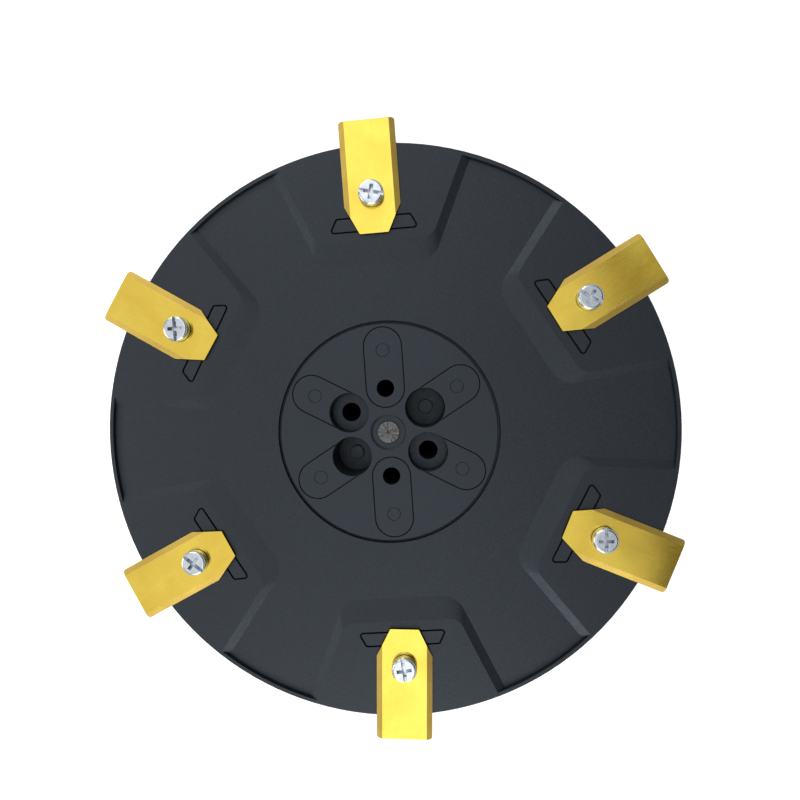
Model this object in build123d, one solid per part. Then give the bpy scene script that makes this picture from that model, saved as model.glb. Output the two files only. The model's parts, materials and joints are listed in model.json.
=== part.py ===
from build123d import *
from math import cos, radians, sin
import os

# Blade disc of a robotic lawn mower: one moulded disc that carries six small
# razor blades, each swinging freely on its own shoulder screw.
#
# Millimetres. The origin is on the spin axis, on the seat that meets the
# mower's drive flange. +Z points away from the motor, to the blade side, and
# the first blade pivot lies on +Y. Blades count anticlockwise from there.

os.makedirs("parts", exist_ok=True)

BLADES = 6
FIRST_ANGLE = 90.0
STATIONS = [FIRST_ANGLE + 360.0 / BLADES * k for k in range(BLADES)]

PAST = 1.0                 # how far cutting shapes run past the surface they cut

# Moulded disc
PAD_Z = 18.0               # tops of the blade pads and the rim lip above the motor seat
PAD_RISE = 1.2             # pads and rim lip stand this far above the face
FACE_Z = PAD_Z - PAD_RISE
DISC_R = 97.8
RIM_TOP_R = 97.1           # the rim drafts in a little towards the pads
RIM_DRAFT_H = 2.5
LIP_INNER_R = 95.8
SKIRT_H = 12.0
SKIRT_WALL = 2.6
SKIRT_DRAFT = 0.3
PLATE = 3.0
PLATE_Z = FACE_Z - PLATE   # underside of the plate
EDGE_R = 0.4

# Raised pad under each blade, measured outwards from the spin axis
PAD_INNER = 64.6
PAD_HALF = 19.5
PAD_FLARE = 0.44           # side edge slope, half width gained per outward mm
PAD_CORNER_R = 5.0
FOOT_INNER = 57.0
FOOT_HALF = 19.3
FOOT_CORNER_R = 8.0
PAD_END = DISC_R + 4.0

# Hub, blade side
HUB_RING_R = 38.0
HUB_RING_W = 1.1
HUB_RING_DEPTH = 1.2
HOLE_CIRCLE_R = 15.0
PANEL_OUTER_R = 29.4       # centre of each witness panel's outer round end
PANEL_W = 13.0
WITNESS_W = 0.4
WITNESS_DEPTH = 0.4
INDEX_R = 2.2              # small index ring on each panel
INDEX_CENTRE_R = 28.0
INDEX_LINE_W = 0.25
INDEX_LINE_DEPTH = 0.12
SOCKET_R = 6.8
COUNTERBORE_DEPTH = 6.0
SOCKET_DEPTH = 14.0
SOCKET_BOSS_R = 2.4        # round nub on each deep socket's floor
SOCKET_BOSS_H = 1.0
PLAIN_HOLE_R = 3.0
CLAMP_HOLE_R = 3.3
DIMPLE_R = 6.2
DIMPLE_DEPTH = 0.7
GATE_R = 3.7
GATE_DROP = 0.15           # trimmed gate stub below the face
GATE_TAPER = 0.1
GATE_PIT_R = 0.45
GATE_PIT_DEPTH = 0.4

# Witness outline on each pad
MARK_INNER = 68.2
MARK_INNER_HALF = 14.9
MARK_OUTER = 72.8
MARK_OUTER_HALF = 12.5
MARK_CORNER_R = 0.9
MARK_LINE_W = 0.6
MARK_LINE_DEPTH = 0.7

# Hub, motor side
REGISTER_R = 26.0          # pocket that takes the drive flange
REGISTER_DEPTH = 5.0
HUB_WALL = 2.5
HUB_OUTER_R = 37.0
SHAFT_R = 6.0
SHAFT_DEPTH = 10.0
HUB_GROOVE_ROOF = 4.0      # thickness left over the groove round the register
HUB_RIBS = 12
HUB_RIB_W = 1.8
HUB_RIB_CLEAR = 1.0        # hub ribs end this far inside the groove's mouth

# Underside
RIB_W = 2.4
RIB_DEPTH = 10.0           # rib edges below the pads
ROOT = 0.4                 # ribs, bosses and gussets reach this far into the plate
BOSS_R = 6.5
GUSSET_LEN = 12.0
GUSSET_W = 2.0
GUSSET_CLEAR = 1.5         # gusset toe above the skirt's lower edge
GUSSET_TOE = 2.5

# Blade
PIVOT_R = 80.0
BLADE_L = 37.8
BLADE_W = 19.0
BLADE_T = 0.75
HEEL_TO_PIVOT = 12.9
HEEL_TAPER = 9.45
HEEL_W = 9.7
HEEL_CORNER_R = 0.4
TIP_CORNER_R = 1.0
BEVEL_W = 1.9
EDGE_T = 0.15
BLADE_HOLE_R = 3.0
BLADE_GAP = 0.15
BLADE_YAW = [0.3, -3.0, -4.8, -4.0, 4.7, -2.2]   # resting swing of each blade

# Shoulder screw, M5
HEAD_R = 4.25
HEAD_H = 2.6
HEAD_EDGE_R = 0.9
SHOULDER_R = 2.92
SHOULDER_H = 1.25
THREAD_R = 2.45
THREAD_ROOT_R = 2.05
THREAD_PITCH = 0.8
THREAD_FLANK = 0.35
THREAD_CREST = 0.1
THREAD_START = 0.6
THREAD_L = 9.2
TIP_CHAMFER = 0.5
SLOT_W = 1.2
SLOT_DEPTH = 1.1
CROSS_L = 5.0
CROSS_DEPTH = 1.9
SLOT_ANGLE = [-12.5, 90.0, -41.0, 95.0, 86.0, -33.0]

# Moulded-in insert
INSERT_R = 4.0
INSERT_GROOVE_R = 3.4
INSERT_BORE_R = 2.5
INSERT_L = 10.0
INSERT_TAPER = 0.4
KNURLS = 20
KNURL_W = 0.5
KNURL_OUT = 0.12           # knurl cutter's centre outside the insert


def at_station(k, radius, z=0.0, turn=0.0):
    """Place at blade station k, radius out from the axis, local +X outwards."""
    angle = STATIONS[k]
    centre = (radius * cos(radians(angle)), radius * sin(radians(angle)), z)
    return Location(centre, (0, 0, angle + turn))


def revolved(points):
    """Solid of revolution about Z from a closed (radius, height) outline."""
    outline = [(r, 0, z) for r, z in points]
    return revolve(make_face(Polyline(outline, close=True)), Axis.Z)


# ---------------------------------------------------------------- disc body


def disc_blank():
    """Full-height disc before relief: plate, skirt, hub wall and hub boss."""
    skirt_r = DISC_R - SKIRT_WALL
    groove_out = HUB_OUTER_R - HUB_WALL
    groove_in = REGISTER_R + HUB_WALL
    groove_top = FACE_Z - HUB_GROOVE_ROOF
    outline = [
        (0, PAD_Z),
        (RIM_TOP_R, PAD_Z),
        (DISC_R, PAD_Z - RIM_DRAFT_H),
        (DISC_R, PAD_Z - SKIRT_H),
        (skirt_r, PAD_Z - SKIRT_H),
        (skirt_r - SKIRT_DRAFT, PLATE_Z),
        (HUB_OUTER_R, PLATE_Z),
        (HUB_OUTER_R, -REGISTER_DEPTH),
        (groove_out, -REGISTER_DEPTH),
        (groove_out, groove_top),
        (groove_in, groove_top),
        (groove_in, -REGISTER_DEPTH),
        (REGISTER_R, -REGISTER_DEPTH),
        (REGISTER_R, 0),
        (SHAFT_R, 0),
        (SHAFT_R, SHAFT_DEPTH),
        (0, SHAFT_DEPTH),
    ]
    blank = revolved(outline)
    rim = blank.edges().filter_by(GeomType.CIRCLE).filter_by(
        lambda e: abs(e.radius - RIM_TOP_R) < 0.01
    )
    return fillet(rim, EDGE_R)


def pad_outline(inner, half, corner_r):
    """Flared outline of one pad, open end past the rim, inner corners round."""
    end_half = half + PAD_FLARE * (PAD_END - inner)
    corners = [(inner, half), (inner, -half), (PAD_END, -end_half), (PAD_END, end_half)]
    outline = make_face(Polyline(*corners, close=True))
    inner_corners = outline.vertices().filter_by(lambda v: abs(v.X - inner) < 0.01)
    return fillet(inner_corners, corner_r)


def pad():
    """Raised pad with its ramps: gentle towards the hub, steeper at the sides."""
    top = Pos(0, 0, PAD_Z) * pad_outline(PAD_INNER, PAD_HALF, PAD_CORNER_R)
    foot = Pos(0, 0, FACE_Z) * pad_outline(FOOT_INNER, FOOT_HALF, FOOT_CORNER_R)
    ramped = loft([foot.face(), top.face()], ruled=True)
    return ramped + extrude(top, 2 * PAST)


def face_relief():
    """What is taken off inside the rim lip to leave the pads standing."""
    upwards = (Align.CENTER, Align.CENTER, Align.MIN)
    inside = Pos(0, 0, FACE_Z) * Cylinder(LIP_INNER_R, PAD_RISE + PAST, align=upwards)
    one_pad = pad()
    return inside - [Rot(0, 0, angle) * one_pad for angle in STATIONS]


def line_cut(shape, surface_z, width, depth):
    """Groove of the given width and depth along a closed outline in a surface."""
    band = offset(shape, width / 2) - offset(shape, -width / 2)
    return Pos(0, 0, surface_z - depth) * extrude(band, depth + PAST)


def hub_panel_lines():
    """Obround witness line and index ring beside each hub hole."""
    length = PANEL_OUTER_R - HOLE_CIRCLE_R
    middle = (PANEL_OUTER_R + HOLE_CIRCLE_R) / 2
    panel = Pos(middle, 0) * SlotCenterToCenter(length, PANEL_W)
    ring = Pos(INDEX_CENTRE_R, 0) * Circle(INDEX_R)
    cuts = line_cut(panel, FACE_Z, WITNESS_W, WITNESS_DEPTH)
    cuts += line_cut(ring, FACE_Z, INDEX_LINE_W, INDEX_LINE_DEPTH)
    return [Rot(0, 0, angle) * cuts for angle in STATIONS]


def pad_marks():
    """Rounded trapezium line across each pad, inboard of the blade screw."""
    corners = [
        (MARK_INNER, MARK_INNER_HALF),
        (MARK_INNER, -MARK_INNER_HALF),
        (MARK_OUTER, -MARK_OUTER_HALF),
        (MARK_OUTER, MARK_OUTER_HALF),
    ]
    outline = make_face(Polyline(*corners, close=True))
    outline = fillet(outline.vertices(), MARK_CORNER_R)
    cut = line_cut(outline, PAD_Z, MARK_LINE_W, MARK_LINE_DEPTH)
    return [Rot(0, 0, angle) * cut for angle in STATIONS]


def hub_ring():
    """Groove round the hub face."""
    inner = HUB_RING_R - HUB_RING_W
    return revolved(
        [
            (inner, FACE_Z - HUB_RING_DEPTH),
            (HUB_RING_R, FACE_Z - HUB_RING_DEPTH),
            (HUB_RING_R, FACE_Z + PAST),
            (inner, FACE_Z + PAST),
        ]
    )


def gate_dimple():
    """Shallow dish at the centre with the trimmed stub of the moulding gate."""
    floor = FACE_Z - DIMPLE_DEPTH
    stub_top = FACE_Z - GATE_DROP
    return revolved(
        [
            (0, stub_top - GATE_PIT_DEPTH),
            (GATE_PIT_R, stub_top),
            (GATE_R - GATE_TAPER, stub_top),
            (GATE_R, floor),
            (DIMPLE_R - DIMPLE_DEPTH, floor),
            (DIMPLE_R, FACE_Z),
            (DIMPLE_R, FACE_Z + PAST),
            (0, FACE_Z + PAST),
        ]
    )


def bore(k, r, bottom, top=FACE_Z + PAST):
    """Cylinder to take out at hub hole k."""
    cut = Cylinder(r, top - bottom, align=(Align.CENTER, Align.CENTER, Align.MIN))
    return at_station(k, HOLE_CIRCLE_R, bottom) * cut


def hub_holes():
    """Two plain holes, two counterbored clamp holes and two deep sockets."""
    cuts = []
    for k in (0, 3):
        cuts.append(bore(k, PLAIN_HOLE_R, -PAST))
    for k in (1, 4):
        cuts.append(bore(k, SOCKET_R, FACE_Z - COUNTERBORE_DEPTH))
        cuts.append(bore(k, CLAMP_HOLE_R, -PAST))
    for k in (2, 5):
        floor = FACE_Z - SOCKET_DEPTH
        nub = bore(k, SOCKET_BOSS_R, 0, floor + SOCKET_BOSS_H)
        cuts.append(bore(k, SOCKET_R, floor) - nub)
    return cuts


def underside_rib():
    """Rib under a blade station, hub wall to skirt, with the insert's boss."""
    bottom = PAD_Z - RIB_DEPTH
    height = PLATE_Z + ROOT - bottom
    length = DISC_R - SKIRT_WALL / 2 - HUB_OUTER_R + PAST
    bar = Box(length, RIB_W, height, align=(Align.MIN, Align.CENTER, Align.MIN))
    boss = Cylinder(BOSS_R, height, align=(Align.CENTER, Align.CENTER, Align.MIN))
    return Pos(HUB_OUTER_R - PAST, 0, bottom) * bar + Pos(PIVOT_R, 0, bottom) * boss


def skirt_gusset():
    """Triangular stiffener between the plate and the skirt."""
    out = DISC_R - SKIRT_WALL / 2
    top = PLATE_Z + ROOT
    toe = PAD_Z - SKIRT_H + GUSSET_CLEAR
    corners = [(out, toe), (out, top), (out - GUSSET_LEN, top), (out - GUSSET_TOE, toe)]
    side = make_face(Polyline([(x, 0, z) for x, z in corners], close=True))
    return extrude(side, GUSSET_W / 2, both=True)


def hub_rib():
    """Short rib across the groove round the register wall."""
    bottom = HUB_RIB_CLEAR - REGISTER_DEPTH
    length = HUB_OUTER_R - REGISTER_R - 2 * PAST
    height = PLATE_Z - bottom
    bar = Box(length, HUB_RIB_W, height, align=(Align.MIN, Align.CENTER, Align.MIN))
    return Pos(REGISTER_R + PAST, 0, bottom) * bar


def underside():
    """All the ribs, bosses and gussets below the plate."""
    rib = underside_rib()
    gusset = skirt_gusset()
    short_rib = hub_rib()
    pieces = []
    for angle in STATIONS:
        pieces.append(Rot(0, 0, angle) * rib)
        pieces.append(Rot(0, 0, angle + 180.0 / BLADES) * gusset)
    for n in range(HUB_RIBS):
        pieces.append(Rot(0, 0, 360.0 / HUB_RIBS * (n + 0.5)) * short_rib)
    return pieces


def insert_outline(bore_r):
    """Insert outline, (radius, height), with its keying groove."""
    bottom = PAD_Z - INSERT_L
    third = INSERT_L / 3
    return [
        (bore_r, bottom),
        (INSERT_R, bottom),
        (INSERT_R, bottom + third),
        (INSERT_GROOVE_R, bottom + third + INSERT_TAPER),
        (INSERT_GROOVE_R, PAD_Z - third - INSERT_TAPER),
        (INSERT_R, PAD_Z - third),
        (INSERT_R, PAD_Z),
        (bore_r, PAD_Z),
    ]


def insert_cavities():
    """Space that the moulded-in inserts take up in the disc."""
    cavity = revolved(insert_outline(0))
    return [at_station(k, PIVOT_R) * cavity for k in range(BLADES)]


def disc_body():
    """The whole moulding."""
    body = disc_blank() - face_relief()
    body += underside()
    body -= hub_holes()
    body -= insert_cavities()
    body -= hub_panel_lines()
    body -= pad_marks()
    body -= [hub_ring(), gate_dimple()]
    return body


# ------------------------------------------------------------ moving pieces


def blade():
    """Razor blade about its pivot hole, cutting end towards local +X."""
    heel = -HEEL_TO_PIVOT
    tip = heel + BLADE_L
    half = BLADE_W / 2
    corners = [
        (heel, HEEL_W / 2),
        (heel, -HEEL_W / 2),
        (heel + HEEL_TAPER, -half),
        (tip, -half),
        (tip, half),
        (heel + HEEL_TAPER, half),
    ]
    outline = make_face(Polyline(*corners, close=True))
    for x, corner_r in ((tip, TIP_CORNER_R), (heel, HEEL_CORNER_R)):
        ends = outline.vertices().filter_by(lambda v: abs(v.X - x) < 0.01)
        outline = fillet(ends, corner_r)
    plate = extrude(outline - Circle(BLADE_HOLE_R), BLADE_T)
    slope = (BLADE_T - EDGE_T) / BEVEL_W
    grind = [
        (0, half - BEVEL_W, BLADE_T),
        (0, half + PAST, EDGE_T - slope * PAST),
        (0, half + PAST, BLADE_T),
    ]
    bevel = extrude(make_face(Polyline(grind, close=True)), tip + PAST, both=True)
    return plate - [bevel, mirror(bevel, Plane.XZ)]


def blade_screw():
    """Shoulder screw: pan head with slot and cross, shoulder, grooved thread."""
    seat = PAD_Z + SHOULDER_H
    outline = [
        (0, seat + HEAD_H),
        (HEAD_R, seat + HEAD_H),
        (HEAD_R, seat),
        (SHOULDER_R, seat),
        (SHOULDER_R, PAD_Z),
        (THREAD_ROOT_R, PAD_Z),
    ]
    z = PAD_Z - THREAD_START
    while z > PAD_Z - THREAD_L:
        crest = z - THREAD_FLANK
        outline += [(THREAD_ROOT_R, z), (THREAD_R, crest), (THREAD_R, crest - THREAD_CREST)]
        z -= THREAD_PITCH
    tip = z - TIP_CHAMFER
    outline += [(THREAD_ROOT_R, z), (THREAD_ROOT_R - TIP_CHAMFER, tip), (0, tip)]
    screw = revolved(outline)
    rim = screw.edges().filter_by(GeomType.CIRCLE).group_by(Axis.Z)[-1]
    screw = fillet(rim, HEAD_EDGE_R)
    on_top = (Align.CENTER, Align.CENTER, Align.MAX)
    top = Pos(0, 0, seat + HEAD_H)
    slot = top * Box(2 * (HEAD_R + PAST), SLOT_W, SLOT_DEPTH, align=on_top)
    arm = top * Box(CROSS_L, SLOT_W, CROSS_DEPTH, align=on_top)
    return screw - [slot, arm, Rot(0, 0, 90) * arm]


def screw_insert():
    """Knurled brass insert with a plain bore at the thread's major radius."""
    body = revolved(insert_outline(INSERT_BORE_R))
    flute = Rot(0, 0, 45) * Box(KNURL_W, KNURL_W, INSERT_L - PAST)
    flute = Pos(INSERT_R + KNURL_OUT, 0, PAD_Z - INSERT_L / 2) * flute
    return body - [Rot(0, 0, 360.0 / KNURLS * n) * flute for n in range(KNURLS)]


def save(shape, node):
    """Write one named piece."""
    export_step(shape, f"parts/{node}.step")


save(disc_body(), "disc_body")

one_blade = blade()
one_screw = blade_screw()
one_insert = screw_insert()
for k in range(BLADES):
    number = k + 1
    swing = at_station(k, PIVOT_R, PAD_Z + BLADE_GAP, BLADE_YAW[k])
    slot_turn = SLOT_ANGLE[k] - STATIONS[k]
    save(swing * one_blade, f"blade_{number}")
    save(at_station(k, PIVOT_R, 0, slot_turn) * one_screw, f"blade_screw_{number}")
    save(at_station(k, PIVOT_R) * one_insert, f"screw_insert_{number}")
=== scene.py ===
from math import atan2, cos, pi, radians, sin
import json

import bmesh
import bpy
from mathutils import Matrix, Vector


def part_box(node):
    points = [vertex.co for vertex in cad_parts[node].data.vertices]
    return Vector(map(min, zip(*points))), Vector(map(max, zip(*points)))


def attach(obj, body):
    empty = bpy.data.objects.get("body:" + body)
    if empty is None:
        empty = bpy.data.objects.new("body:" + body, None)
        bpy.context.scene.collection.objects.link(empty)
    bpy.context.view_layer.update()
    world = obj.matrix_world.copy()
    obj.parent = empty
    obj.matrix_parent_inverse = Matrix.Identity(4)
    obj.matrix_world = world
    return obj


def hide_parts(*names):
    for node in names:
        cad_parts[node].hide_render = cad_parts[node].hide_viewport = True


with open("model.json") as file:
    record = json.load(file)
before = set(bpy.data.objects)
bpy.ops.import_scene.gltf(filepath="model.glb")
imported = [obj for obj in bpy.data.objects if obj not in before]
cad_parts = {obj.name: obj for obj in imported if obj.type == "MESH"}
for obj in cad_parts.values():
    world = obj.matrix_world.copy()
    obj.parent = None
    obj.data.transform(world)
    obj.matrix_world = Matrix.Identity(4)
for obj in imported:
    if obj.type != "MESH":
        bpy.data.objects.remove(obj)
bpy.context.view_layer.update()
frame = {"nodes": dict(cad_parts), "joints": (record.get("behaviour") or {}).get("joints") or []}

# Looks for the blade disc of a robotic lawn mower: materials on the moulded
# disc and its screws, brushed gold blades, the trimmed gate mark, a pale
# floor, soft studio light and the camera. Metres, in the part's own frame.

MM = 0.001

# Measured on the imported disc
DISC_LOW, DISC_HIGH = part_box("disc_body")
PAD_Z = DISC_HIGH.z
FLOOR_Z = DISC_LOW.z
HUB_RING_R = 36.9 * MM       # inner side of the groove round the hub face

# Trimmed gate stub at the centre of the hub
GATE_R = 3.65 * MM
GATE_SLACK = 0.02 * MM       # for finding the rim of the stub on the disc
GATE_LIFT = 0.02 * MM        # torn skin over the stub's flat top
GATE_DEPTH = 0.3 * MM
GATE_PIT_R = 0.6 * MM
GATE_RIDGE = 0.03 * MM
GATE_RIDGES, GATE_BEATS = 23, 7      # fine radial ridges, and how they come and go
GATE_RINGS, GATE_SPOKES = 14, 96     # mesh of the torn face

# Blades: a ground cutting edge is a face whose normal rises by an amount in
# this range, and every sharp rim is rounded
GRIND_NORMAL = (0.90, 0.98)
BLADE_EDGE = 0.04 * MM
BLADE_EDGE_ANGLE = radians(40)

# Painted shade: a near-black sheet on the floor, inside the flange pocket, so that the open holes
# look dark
SHADE_SHEET_R = 25.0 * MM
SHADE_SHEET_H = 1.0 * MM

FLOOR_GLOW = 0.55            # keeps the paper white close round the disc

# Studio room. Every stop is a place and a brightness. The ceiling's places run
# from left (0) to right (1), and the other two from the horizon (0) to
# straight up (1).
CEILING = [
    (0.00, 0.40),
    (0.18, 0.44),
    (0.34, 0.52),
    (0.46, 0.94),
    (0.64, 0.50),
    (0.675, 0.055),
    (0.71, 0.055),
    (0.76, 0.045),
    (1.00, 0.03),
]
CEILING_SKEW = 0.03          # lean of the ceiling's stripes away from the Y axis
CEILING_BY_HEIGHT = [(0.45, 0.20), (0.62, 0.30), (0.82, 1.0), (0.90, 1.0), (1.0, 0.74)]
WALL_BY_HEIGHT = [(0.36, 1.0), (0.50, 0.0)]
WALL_TONE = (0.38, 0.38, 0.38)
ROOM_STRENGTH = 1.85

# Soft boxes: name, place, width and height, watts
SOFT_BOXES = [
    ("left", (-0.95, -0.10, 0.50), (0.6, 0.4), 2.5),
    ("near", (-0.10, -0.95, 0.55), (0.8, 0.4), 4.5),
    ("far", (-0.40, 0.88, 0.55), (0.8, 0.4), 3.5),
]

# Camera, above the blade side
CAMERA_AT = Vector((15.4 * MM, 14.8 * MM, PAD_Z + 194.8 * MM))
CAMERA_TILT = (radians(-1.42), radians(3.04), radians(-3.99))
CAMERA_LENS = 26.0           # millimetres, on a sensor 36 wide
CAMERA_SENSOR = 36.0


# ------------------------------------------------------------- node helpers


def new_material(name):
    """Empty node material with a Principled shader; returns it and its tree."""
    material = bpy.data.materials.new(name)
    material.use_nodes = True
    tree = material.node_tree
    return material, tree, tree.nodes["Principled BSDF"]


def calc(tree, operation, a, b=None):
    """Math node; a and b are sockets or numbers."""
    node = tree.nodes.new("ShaderNodeMath")
    node.operation = operation
    for socket, value in zip(node.inputs, (a, b)):
        if isinstance(value, bpy.types.NodeSocket):
            tree.links.new(value, socket)
        elif value is not None:
            socket.default_value = value
    return node.outputs[0]


def ramp(tree, factor, stops, smooth=False):
    """Colour ramp; stops are (position, colour or grey)."""
    node = tree.nodes.new("ShaderNodeValToRGB")
    elements = node.color_ramp.elements
    while len(elements) < len(stops):
        elements.new(0.5)
    for element, (position, colour) in zip(elements, stops):
        grey = (colour,) * 3 if isinstance(colour, (int, float)) else colour
        element.position = position
        element.color = (*grey, 1)
    if smooth:
        node.color_ramp.interpolation = "EASE"
    tree.links.new(factor, node.inputs[0])
    return node.outputs[0]


def mix_colour(tree, factor, a, b, blend="MIX"):
    """Mix two colours, each a socket or a tuple, by a factor socket or number."""
    node = tree.nodes.new("ShaderNodeMix")
    node.data_type = "RGBA"
    node.blend_type = blend
    for socket, value in zip((node.inputs[0], node.inputs[6], node.inputs[7]), (factor, a, b)):
        if isinstance(value, bpy.types.NodeSocket):
            tree.links.new(value, socket)
        else:
            socket.default_value = value if isinstance(value, (int, float)) else (*value, 1)
    return node.outputs[2]


def noise(tree, vector, scale, detail=2.0, roughness=0.5, distortion=0.0):
    """Noise texture's factor output."""
    node = tree.nodes.new("ShaderNodeTexNoise")
    node.inputs["Scale"].default_value = scale
    node.inputs["Detail"].default_value = detail
    node.inputs["Roughness"].default_value = roughness
    node.inputs["Distortion"].default_value = distortion
    tree.links.new(vector, node.inputs["Vector"])
    return node.outputs[0]


def stretched(tree, vector, scale):
    """The vector with each axis scaled."""
    node = tree.nodes.new("ShaderNodeMapping")
    node.inputs["Scale"].default_value = scale
    tree.links.new(vector, node.inputs["Vector"])
    return node.outputs[0]


def soft_edges(tree, radius):
    """Normal that rounds sharp edges by a small radius."""
    node = tree.nodes.new("ShaderNodeBevel")
    node.samples = 6
    node.inputs["Radius"].default_value = radius
    return node.outputs[0]


def painted_crease_shade(tree, reach, dark):
    """Painted shade: 1 on open surfaces, falling to dark in grooves narrower than the reach."""
    node = tree.nodes.new("ShaderNodeAmbientOcclusion")
    node.samples = 8
    node.inputs["Distance"].default_value = reach
    return ramp(tree, node.outputs["AO"], [(0.35, dark), (0.85, 1.0)])


def bump(tree, height, strength, distance, normal=None):
    """Bump node's normal output."""
    node = tree.nodes.new("ShaderNodeBump")
    node.inputs["Strength"].default_value = strength
    node.inputs["Distance"].default_value = distance
    tree.links.new(height, node.inputs["Height"])
    if normal is not None:
        tree.links.new(normal, node.inputs["Normal"])
    return node.outputs[0]


def coordinates(tree):
    """Object coordinates: metres in the piece's own frame."""
    return tree.nodes.new("ShaderNodeTexCoord").outputs["Object"]


def radius_from_axis(tree, vector):
    """Distance from the object's Z axis."""
    split = tree.nodes.new("ShaderNodeSeparateXYZ")
    tree.links.new(vector, split.inputs[0])
    x2 = calc(tree, "POWER", split.outputs[0], 2.0)
    y2 = calc(tree, "POWER", split.outputs[1], 2.0)
    return calc(tree, "SQRT", calc(tree, "ADD", x2, y2))


# ---------------------------------------------------------------- materials


def disc_plastic():
    """Charcoal glass-filled nylon with a spark-eroded grain, finer on the hub."""
    material, tree, shader = new_material("disc_plastic")
    links = tree.links
    place = coordinates(tree)
    radius = radius_from_axis(tree, place)
    outside = calc(tree, "GREATER_THAN", radius, HUB_RING_R)
    hub_grain = 0.3
    amount = calc(tree, "ADD", hub_grain, calc(tree, "MULTIPLY", outside, 1.0 - hub_grain))

    grain = noise(tree, place, scale=2600.0, detail=3.0, roughness=0.6)
    coarse = noise(tree, place, scale=900.0, detail=2.0)
    clouds = noise(tree, place, scale=26.0, detail=3.0, roughness=0.55)
    dark, light = (0.0056, 0.0067, 0.0096), (0.0170, 0.0198, 0.0258)
    speck = ramp(tree, grain, [(0.34, dark), (0.72, light)])
    plain = mix_colour(tree, 0.65, dark, light)
    colour = mix_colour(tree, amount, plain, speck)
    tone = ramp(tree, clouds, [(0.3, 0.85), (0.7, 1.0)])
    colour = mix_colour(tree, 1.0, colour, tone, "MULTIPLY")
    # Painted shade: ambient occlusion darkens the colour and lowers the specular in the grooves
    # and recesses
    painted_shade = painted_crease_shade(tree, reach=1.0 * MM, dark=0.1)
    links.new(mix_colour(tree, 1.0, colour, painted_shade, "MULTIPLY"), shader.inputs["Base Color"])
    links.new(calc(tree, "MULTIPLY", painted_shade, 0.51), shader.inputs["Specular IOR Level"])
    shader.inputs["Specular Tint"].default_value = (0.77, 0.885, 1.0, 1)
    links.new(ramp(tree, coarse, [(0.3, 0.38), (0.7, 0.50)]), shader.inputs["Roughness"])

    height = calc(tree, "ADD", grain, calc(tree, "MULTIPLY", coarse, 0.7))
    height = calc(tree, "MULTIPLY", height, amount)
    rounded = soft_edges(tree, 0.15 * MM)
    normal = bump(tree, height, strength=0.7, distance=0.08 * MM, normal=rounded)
    links.new(normal, shader.inputs["Normal"])
    return material


def gold(name, base, dark, rough, lines):
    """Titanium-nitride gold over brushed steel.

    It goes from base to dark in a haze, rough is its lowest and highest
    roughness, and lines is how fine the brushing is along each axis.
    """
    material, tree, shader = new_material(name)
    links = tree.links
    place = coordinates(tree)
    shifted = tree.nodes.new("ShaderNodeVectorMath")
    links.new(place, shifted.inputs[0])
    links.new(tree.nodes.new("ShaderNodeObjectInfo").outputs["Location"], shifted.inputs[1])
    own_place = shifted.outputs[0]

    brushed = noise(tree, stretched(tree, own_place, lines), scale=1.0, detail=4.0, roughness=0.6)
    haze = noise(tree, own_place, scale=90.0, detail=2.0, distortion=0.4)
    warp = noise(tree, own_place, scale=32.0, detail=1.0, roughness=0.3)
    tint = mix_colour(tree, ramp(tree, haze, [(0.3, 0.0), (0.9, 1.0)]), base, dark)
    streak = ramp(tree, brushed, [(0.3, 0.90), (0.7, 1.0)])
    links.new(mix_colour(tree, 1.0, tint, streak, "MULTIPLY"), shader.inputs["Base Color"])
    shader.inputs["Metallic"].default_value = 1.0
    low, high = rough
    links.new(ramp(tree, brushed, [(0.3, low), (0.75, high)]), shader.inputs["Roughness"])
    rolled = bump(tree, warp, strength=1.0, distance=1.0 * MM)
    normal = bump(tree, brushed, strength=0.5, distance=0.04 * MM, normal=rolled)
    links.new(normal, shader.inputs["Normal"])
    return material


def gold_coat():
    """Flat faces of a blade, brushed lengthways and nearly smooth."""
    return gold(
        "gold_coat",
        base=(0.90, 0.68, 0.115),
        dark=(0.80, 0.53, 0.075),
        rough=(0.12, 0.22),
        lines=(160.0, 5200.0, 160.0),
    )


def gold_ground():
    """Cutting edges of a blade, ground across and rougher."""
    return gold(
        "gold_ground",
        base=(0.63, 0.455, 0.105),
        dark=(0.46, 0.31, 0.07),
        rough=(0.48, 0.58),
        lines=(2600.0, 900.0, 160.0),
    )


def zinc_plate():
    """Bright blue-white zinc on turned steel, with painted shade in the drive recess."""
    material, tree, shader = new_material("zinc_plate")
    links = tree.links
    place = coordinates(tree)
    mottled = noise(tree, place, scale=500.0, detail=3.0, roughness=0.6)
    fine = noise(tree, place, scale=4200.0, detail=2.0)
    colour = ramp(tree, mottled, [(0.3, (0.52, 0.57, 0.64)), (0.7, (0.70, 0.75, 0.81))])
    # Painted shade: ambient occlusion darkens the colour in the drive recess
    painted_shade = painted_crease_shade(tree, reach=1.2 * MM, dark=0.55)
    links.new(mix_colour(tree, 1.0, colour, painted_shade, "MULTIPLY"), shader.inputs["Base Color"])
    shader.inputs["Metallic"].default_value = 1.0
    links.new(ramp(tree, fine, [(0.3, 0.18), (0.75, 0.32)]), shader.inputs["Roughness"])
    rounded = soft_edges(tree, 0.12 * MM)
    normal = bump(tree, mottled, strength=0.12, distance=0.03 * MM, normal=rounded)
    links.new(normal, shader.inputs["Normal"])
    return material


def turned_brass():
    """Machined brass of the moulded-in inserts."""
    material, tree, shader = new_material("turned_brass")
    links = tree.links
    place = coordinates(tree)
    turned = stretched(tree, place, (400.0, 400.0, 9000.0))
    rings = noise(tree, turned, scale=1.0, detail=2.0)
    colour = ramp(tree, rings, [(0.3, (0.52, 0.36, 0.13)), (0.7, (0.80, 0.60, 0.27))])
    links.new(colour, shader.inputs["Base Color"])
    shader.inputs["Metallic"].default_value = 1.0
    links.new(ramp(tree, rings, [(0.3, 0.26), (0.7, 0.42)]), shader.inputs["Roughness"])
    links.new(bump(tree, rings, strength=0.2, distance=0.03 * MM), shader.inputs["Normal"])
    return material


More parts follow.
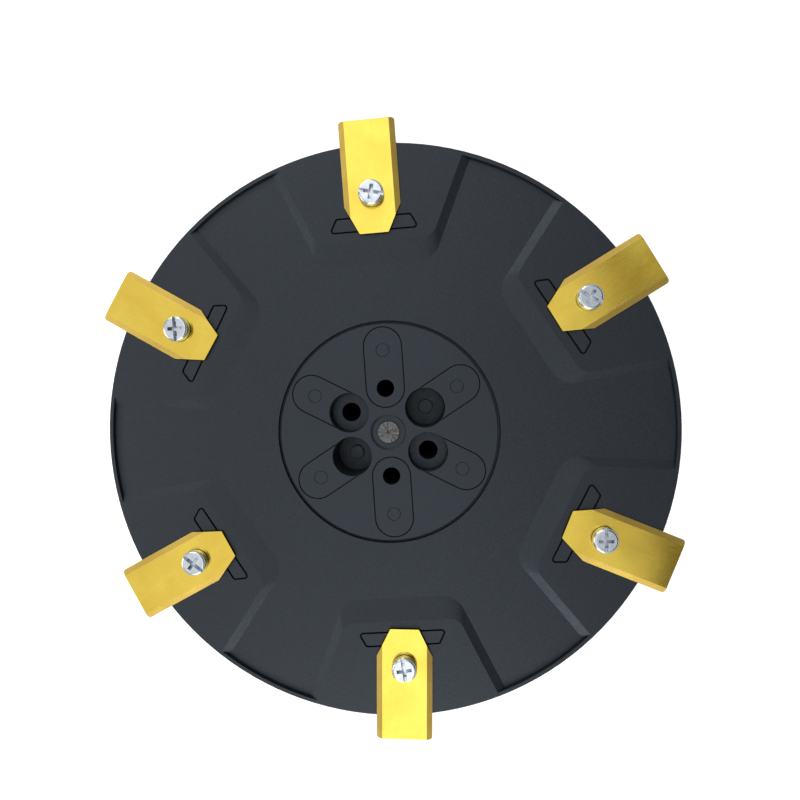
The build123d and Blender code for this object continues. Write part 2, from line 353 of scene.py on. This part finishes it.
def gate_plastic():
    """Pale torn plastic where the moulding gate was trimmed off."""
    material, tree, shader = new_material("gate_plastic")
    links = tree.links
    place = coordinates(tree)
    radius = radius_from_axis(tree, place)
    tears_round, tears_per_metre = 26.0, 260.0
    gradient = tree.nodes.new("ShaderNodeTexGradient")
    gradient.gradient_type = "RADIAL"
    links.new(place, gradient.inputs[0])
    spoke = tree.nodes.new("ShaderNodeCombineXYZ")
    links.new(calc(tree, "MULTIPLY", gradient.outputs[1], tears_round), spoke.inputs[0])
    links.new(calc(tree, "MULTIPLY", radius, tears_per_metre), spoke.inputs[1])
    torn = noise(tree, spoke.outputs[0], scale=1.0, detail=4.0, roughness=0.7)
    colour = ramp(tree, torn, [(0.36, (0.020, 0.021, 0.022)), (0.60, (0.150, 0.152, 0.145))])
    links.new(colour, shader.inputs["Base Color"])
    links.new(ramp(tree, torn, [(0.3, 0.75), (0.7, 0.5)]), shader.inputs["Roughness"])
    links.new(bump(tree, torn, strength=0.8, distance=0.08 * MM), shader.inputs["Normal"])
    return material


def shade_sheet_black():
    """Near-black colour of the sheet under the hub: painted shade for the open holes."""
    material, tree, shader = new_material("shade_sheet_black")
    links = tree.links
    sheet_noise = noise(tree, coordinates(tree), scale=1500.0, detail=3.0, roughness=0.6)
    colour = ramp(tree, sheet_noise, [(0.3, 0.001), (0.7, 0.004)])
    links.new(colour, shader.inputs["Base Color"])
    shader.inputs["Roughness"].default_value = 1.0
    shader.inputs["Specular IOR Level"].default_value = 0.0
    return material


def floor_paper():
    """Pale matte studio floor."""
    material, tree, shader = new_material("floor_paper")
    links = tree.links
    tooth = noise(tree, coordinates(tree), scale=600.0, detail=3.0)
    colour = ramp(tree, tooth, [(0.3, 0.87), (0.7, 0.90)])
    links.new(colour, shader.inputs["Base Color"])
    shader.inputs["Roughness"].default_value = 0.9
    shader.inputs["Emission Color"].default_value = (1, 1, 1, 1)
    shader.inputs["Emission Strength"].default_value = FLOOR_GLOW
    links.new(bump(tree, tooth, strength=0.1, distance=0.05 * MM), shader.inputs["Normal"])
    return material


# ------------------------------------------------------------------- pieces


def rest_swing(node, pivot):
    """Angle of a blade about its pivot, from the far end of its CAD solid."""
    points = [v.co - pivot for v in frame["nodes"][node].data.vertices]
    reach = max(p.xy.length for p in points)
    far = [p.xy for p in points if p.xy.length > 0.95 * reach]
    middle = sum(far, Vector((0, 0))) / len(far)
    return atan2(middle.y, middle.x)


def add_blades(coat, ground):
    """Each CAD blade again, in its own axes, with rounded rims and ground edges."""
    for joint in frame["joints"]:
        node = joint["child"]
        pivot = Vector(joint["pos_m"])
        placed = Matrix.Translation(pivot) @ Matrix.Rotation(rest_swing(node, pivot), 4, "Z")
        mesh = frame["nodes"][node].data.copy()
        mesh.transform(placed.inverted())
        mesh.materials.clear()
        mesh.materials.append(coat)
        mesh.materials.append(ground)
        low, high = GRIND_NORMAL
        for face in mesh.polygons:
            face.material_index = int(low < face.normal.z < high)
        piece = bpy.data.objects.new(node + "_gold", mesh)
        bpy.context.scene.collection.objects.link(piece)
        piece.matrix_world = placed
        rims = piece.modifiers.new("rims", "BEVEL")
        rims.width = BLADE_EDGE
        rims.segments = 2
        rims.limit_method = "ANGLE"
        rims.angle_limit = BLADE_EDGE_ANGLE
        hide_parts(node)
        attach(piece, node)


def stub_top():
    """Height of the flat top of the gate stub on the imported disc."""
    vertices = frame["nodes"]["disc_body"].data.vertices
    return max(v.co.z for v in vertices if v.co.xy.length < GATE_R + GATE_SLACK)


def gate_height(r, angle):
    """Torn face of the gate stub: fine radial ridges and a pit in the middle."""
    ripple = sin(GATE_RIDGES * angle) * sin(GATE_BEATS * angle + 2.0)
    fade = min(1.0, 3 * r / GATE_R)
    pit = max(0.0, 1 - r / GATE_PIT_R)
    return GATE_RIDGE * ripple * fade - GATE_DEPTH * pit


def add_gate_mark(plastic):
    """Trimmed gate stub at the centre: a thin torn disc."""
    top = stub_top() + GATE_LIFT
    work = bmesh.new()
    rows = []
    for i in range(1, GATE_RINGS + 1):
        row = []
        r = GATE_R * i / GATE_RINGS
        for j in range(GATE_SPOKES):
            angle = 2 * pi * j / GATE_SPOKES
            z = top + gate_height(r, angle)
            row.append(work.verts.new((r * cos(angle), r * sin(angle), z)))
        rows.append(row)
    rows.append([work.verts.new((v.co.x, v.co.y, top - GATE_DEPTH)) for v in rows[-1]])
    centre = work.verts.new((0, 0, top + gate_height(0, 0)))
    under = work.verts.new((0, 0, top - GATE_DEPTH))
    for j in range(GATE_SPOKES):
        k = (j + 1) % GATE_SPOKES
        work.faces.new((centre, rows[0][j], rows[0][k]))
        work.faces.new((under, rows[-1][k], rows[-1][j]))
        for inner, outer in zip(rows, rows[1:]):
            work.faces.new((inner[j], outer[j], outer[k], inner[k]))
    mesh = bpy.data.meshes.new("gate_mark")
    work.to_mesh(mesh)
    work.free()
    mesh.materials.append(plastic)
    piece = bpy.data.objects.new("gate_mark", mesh)
    bpy.context.scene.collection.objects.link(piece)
    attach(piece, "disc")


def paint(prefix, material):
    """Give every CAD node whose name starts with prefix one material."""
    for name, node in frame["nodes"].items():
        if name.startswith(prefix):
            for slot in node.material_slots:
                slot.material = material


# -------------------------------------------------------------------- stage


def add_floor(material):
    """Large plain floor under the disc."""
    bpy.ops.mesh.primitive_plane_add(size=6.0, location=(0, 0, FLOOR_Z))
    floor = bpy.context.object
    floor.name = "floor"
    floor.data.materials.append(material)


def add_shade_sheet():
    """Painted shade: a black sheet in the flange pocket, so that the open holes look into
    darkness.
    """
    bpy.ops.mesh.primitive_cylinder_add(
        vertices=64, radius=SHADE_SHEET_R, depth=SHADE_SHEET_H, location=(0, 0, FLOOR_Z + SHADE_SHEET_H / 2)
    )
    sheet = bpy.context.object
    sheet.name = "dark_pad"
    sheet.data.materials.append(shade_sheet_black())


def add_soft_box(name, at, size, power):
    """White area light aimed at the middle of the disc."""
    light = bpy.data.lights.new(name, "AREA")
    light.shape = "RECTANGLE"
    light.size, light.size_y = size
    light.energy = power
    lamp = bpy.data.objects.new(name, light)
    lamp.location = at
    aim = Vector((0, 0, PAD_Z)) - Vector(at)
    lamp.rotation_euler = aim.to_track_quat("-Z", "Y").to_euler()
    bpy.context.scene.collection.objects.link(lamp)


def add_world():
    """Studio room: bright ceiling, dimmer on the right, over pale walls."""
    world = bpy.data.worlds.new("studio")
    world.use_nodes = True
    tree = world.node_tree
    direction = tree.nodes.new("ShaderNodeTexCoord").outputs["Generated"]
    split = tree.nodes.new("ShaderNodeSeparateXYZ")
    tree.links.new(direction, split.inputs[0])
    skew = calc(tree, "MULTIPLY", split.outputs[1], CEILING_SKEW)
    skewed = calc(tree, "SUBTRACT", split.outputs[0], skew)
    across = calc(tree, "ADD", calc(tree, "MULTIPLY", skewed, 0.5), 0.5)
    glow = ramp(tree, across, CEILING, smooth=True)
    fall = ramp(tree, split.outputs[2], CEILING_BY_HEIGHT, smooth=True)
    above = mix_colour(tree, 1.0, glow, fall, "MULTIPLY")
    low = ramp(tree, split.outputs[2], WALL_BY_HEIGHT, smooth=True)
    back = tree.nodes["Background"]
    tree.links.new(mix_colour(tree, low, above, WALL_TONE), back.inputs["Color"])
    back.inputs["Strength"].default_value = ROOM_STRENGTH
    bpy.context.scene.world = world


def add_camera():
    """Camera close above the blade side, as a phone would be held."""
    camera = bpy.data.cameras.new("camera")
    camera.lens = CAMERA_LENS
    camera.sensor_width = CAMERA_SENSOR
    camera.clip_start = 0.01
    holder = bpy.data.objects.new("camera", camera)
    holder.location = CAMERA_AT
    holder.rotation_euler = CAMERA_TILT
    bpy.context.scene.collection.objects.link(holder)
    bpy.context.scene.camera = holder


# ------------------------------------------------------------------ assembly

paint("disc_body", disc_plastic())
paint("blade_screw", zinc_plate())
paint("screw_insert", turned_brass())
add_blades(gold_coat(), gold_ground())
add_gate_mark(gate_plastic())

add_floor(floor_paper())
add_shade_sheet()
add_world()
for soft_box in SOFT_BOXES:
    add_soft_box(*soft_box)
add_camera()
bpy.context.scene.view_settings.view_transform = "Standard"
